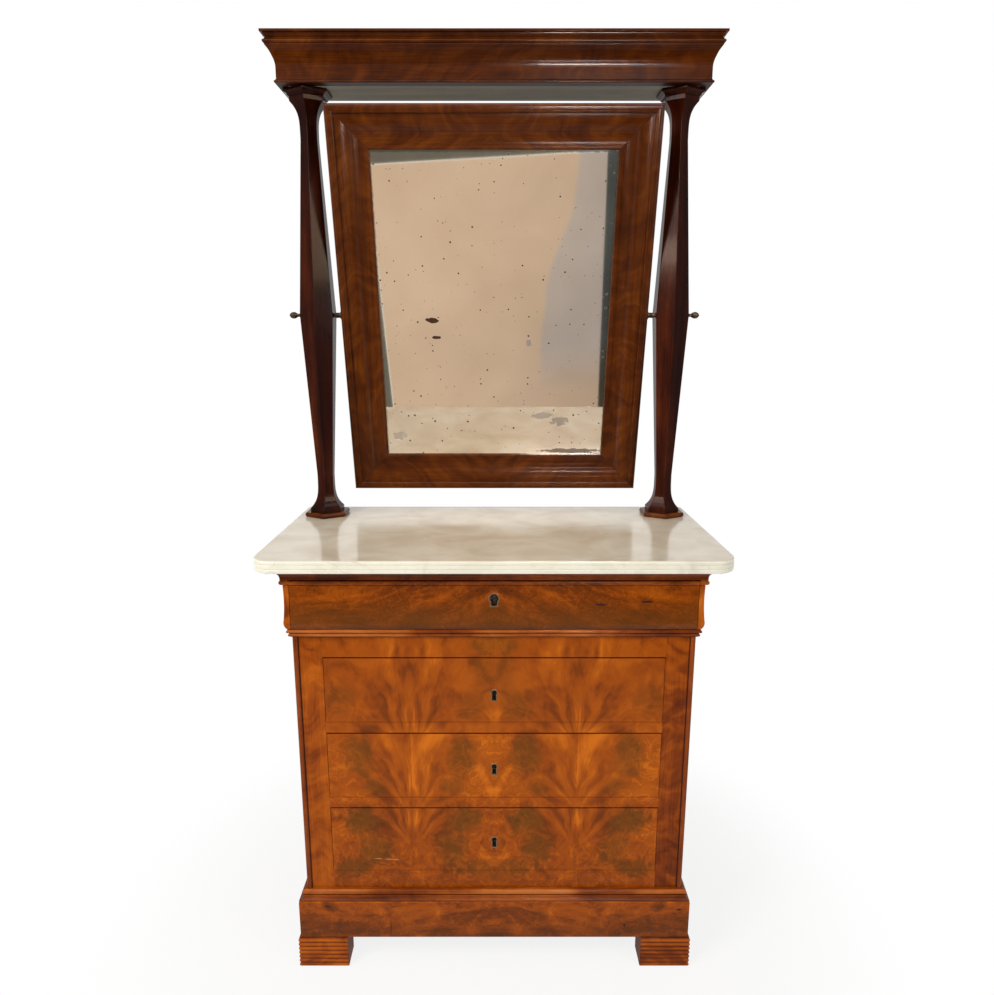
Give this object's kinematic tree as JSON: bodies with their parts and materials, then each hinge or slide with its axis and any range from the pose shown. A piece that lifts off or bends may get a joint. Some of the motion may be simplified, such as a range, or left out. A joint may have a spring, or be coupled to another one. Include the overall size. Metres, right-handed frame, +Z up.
{
  "type": "dressing chest",
  "caption": "Chest of drawers with a marble slab, an ogee frieze drawer, and a mirror that tilts between two six-sided columns under a cornice.",
  "frame": {"origin": "on the floor, at the middle of the whole chest's footprint", "axes": "+Z up, +X to the right of someone facing the chest's front, -Y to the front"},
  "size_m": [0.9634, 0.506, 1.999],
  "materials": {
    "flame_mahogany": "french polished crotch veneer",
    "side_mahogany": "french polished plain veneer",
    "moulding_mahogany": "french polished solid wood",
    "dark_mahogany": "french polished solid wood",
    "secondary_wood": "bare planed wood",
    "drawer_oak": "bare planed wood",
    "marble": "polished",
    "mirror_glass": "silvered plate with age spots",
    "bronze": "dark patinated",
    "brass": "worn",
    "iron": "filed"
  },
  "bodies": {
    "case": {"marble_top": "marble", "right_side_panel": "side_mahogany", "left_side_panel": "side_mahogany", "front_stiles": "flame_mahogany", "stile_beads": "moulding_mahogany", "waist_rail": "flame_mahogany", "drawer_rails": "flame_mahogany", "bottom_rail": "flame_mahogany", "back_frame": "secondary_wood", "back_fields": "secondary_wood", "case_bottom": "secondary_wood", "top_frame": "secondary_wood", "plinth_front": "flame_mahogany", "plinth_sides": "side_mahogany", "base_moulding": "moulding_mahogany", "waist_bead": "moulding_mahogany", "bed_moulding": "moulding_mahogany", "frieze_ends": "moulding_mahogany", "front_feet": "moulding_mahogany", "back_feet": "secondary_wood", "drawer_runners": "secondary_wood", "right_column_shaft": "dark_mahogany", "left_column_shaft": "dark_mahogany", "column_bases": "dark_mahogany", "column_capitals": "dark_mahogany", "cornice_front": "dark_mahogany", "cornice_returns": "dark_mahogany", "cornice_boards": "secondary_wood"},
    "mirror": {"mirror_rails": "dark_mahogany", "mirror_stiles": "dark_mahogany", "mirror_glass": "mirror_glass", "mirror_backboard": "secondary_wood", "pivot_bushes": "bronze"},
    "right_pivot_bolt": {"right_pivot_bolt": "bronze"},
    "left_pivot_bolt": {"left_pivot_bolt": "bronze"},
    "frieze_drawer": {"frieze_drawer_front": "flame_mahogany", "frieze_drawer_box": "drawer_oak", "frieze_drawer_floor": "drawer_oak", "frieze_drawer_lock": "iron", "frieze_drawer_escutcheon": "brass"},
    "frieze_drawer_lock_bolt": {"frieze_drawer_lock_bolt": "iron"},
    "upper_drawer": {"upper_drawer_front": "flame_mahogany", "upper_drawer_box": "drawer_oak", "upper_drawer_floor": "drawer_oak", "upper_drawer_lock": "iron", "upper_drawer_escutcheon": "brass"},
    "upper_drawer_lock_bolt": {"upper_drawer_lock_bolt": "iron"},
    "middle_drawer": {"middle_drawer_front": "flame_mahogany", "middle_drawer_box": "drawer_oak", "middle_drawer_floor": "drawer_oak", "middle_drawer_lock": "iron", "middle_drawer_escutcheon": "brass"},
    "middle_drawer_lock_bolt": {"middle_drawer_lock_bolt": "iron"},
    "lower_drawer": {"lower_drawer_front": "flame_mahogany", "lower_drawer_box": "drawer_oak", "lower_drawer_floor": "drawer_oak", "lower_drawer_lock": "iron", "lower_drawer_escutcheon": "brass"},
    "lower_drawer_lock_bolt": {"lower_drawer_lock_bolt": "iron"}
  },
  "joints": [
    {"name": "frieze_drawer_slide", "type": "slide", "parent": "case", "child": "frieze_drawer", "axis": [0, -1, 0], "range_m": [0, 0.3]},
    {"name": "frieze_drawer_bolt_throw", "type": "slide", "parent": "frieze_drawer", "child": "frieze_drawer_lock_bolt", "axis": [0, 0, 1], "range_m": [0, 0.008]},
    {"name": "upper_drawer_slide", "type": "slide", "parent": "case", "child": "upper_drawer", "axis": [0, -1, 0], "range_m": [0, 0.3]},
    {"name": "upper_drawer_bolt_throw", "type": "slide", "parent": "upper_drawer", "child": "upper_drawer_lock_bolt", "axis": [0, 0, 1], "range_m": [0, 0.008]},
    {"name": "middle_drawer_slide", "type": "slide", "parent": "case", "child": "middle_drawer", "axis": [0, -1, 0], "range_m": [0, 0.3]},
    {"name": "middle_drawer_bolt_throw", "type": "slide", "parent": "middle_drawer", "child": "middle_drawer_lock_bolt", "axis": [0, 0, 1], "range_m": [0, 0.008]},
    {"name": "lower_drawer_slide", "type": "slide", "parent": "case", "child": "lower_drawer", "axis": [0, -1, 0], "range_m": [0, 0.3]},
    {"name": "lower_drawer_bolt_throw", "type": "slide", "parent": "lower_drawer", "child": "lower_drawer_lock_bolt", "axis": [0, 0, 1], "range_m": [0, 0.008]},
    {"name": "mirror_tilt", "type": "hinge", "parent": "case", "child": "mirror", "pos_m": [0, 0.14202, 1.4315], "axis": [1, 0, 0], "range_deg": [-42.5, 17.5]},
    {"name": "right_knob_turn", "type": "hinge", "parent": "case", "child": "right_pivot_bolt", "pos_m": [0.407, 0.14202, 1.4315], "axis": [1, 0, 0], "continuous": true},
    {"name": "left_knob_turn", "type": "hinge", "parent": "case", "child": "left_pivot_bolt", "pos_m": [-0.407, 0.14202, 1.4315], "axis": [1, 0, 0], "continuous": true}
  ]
}
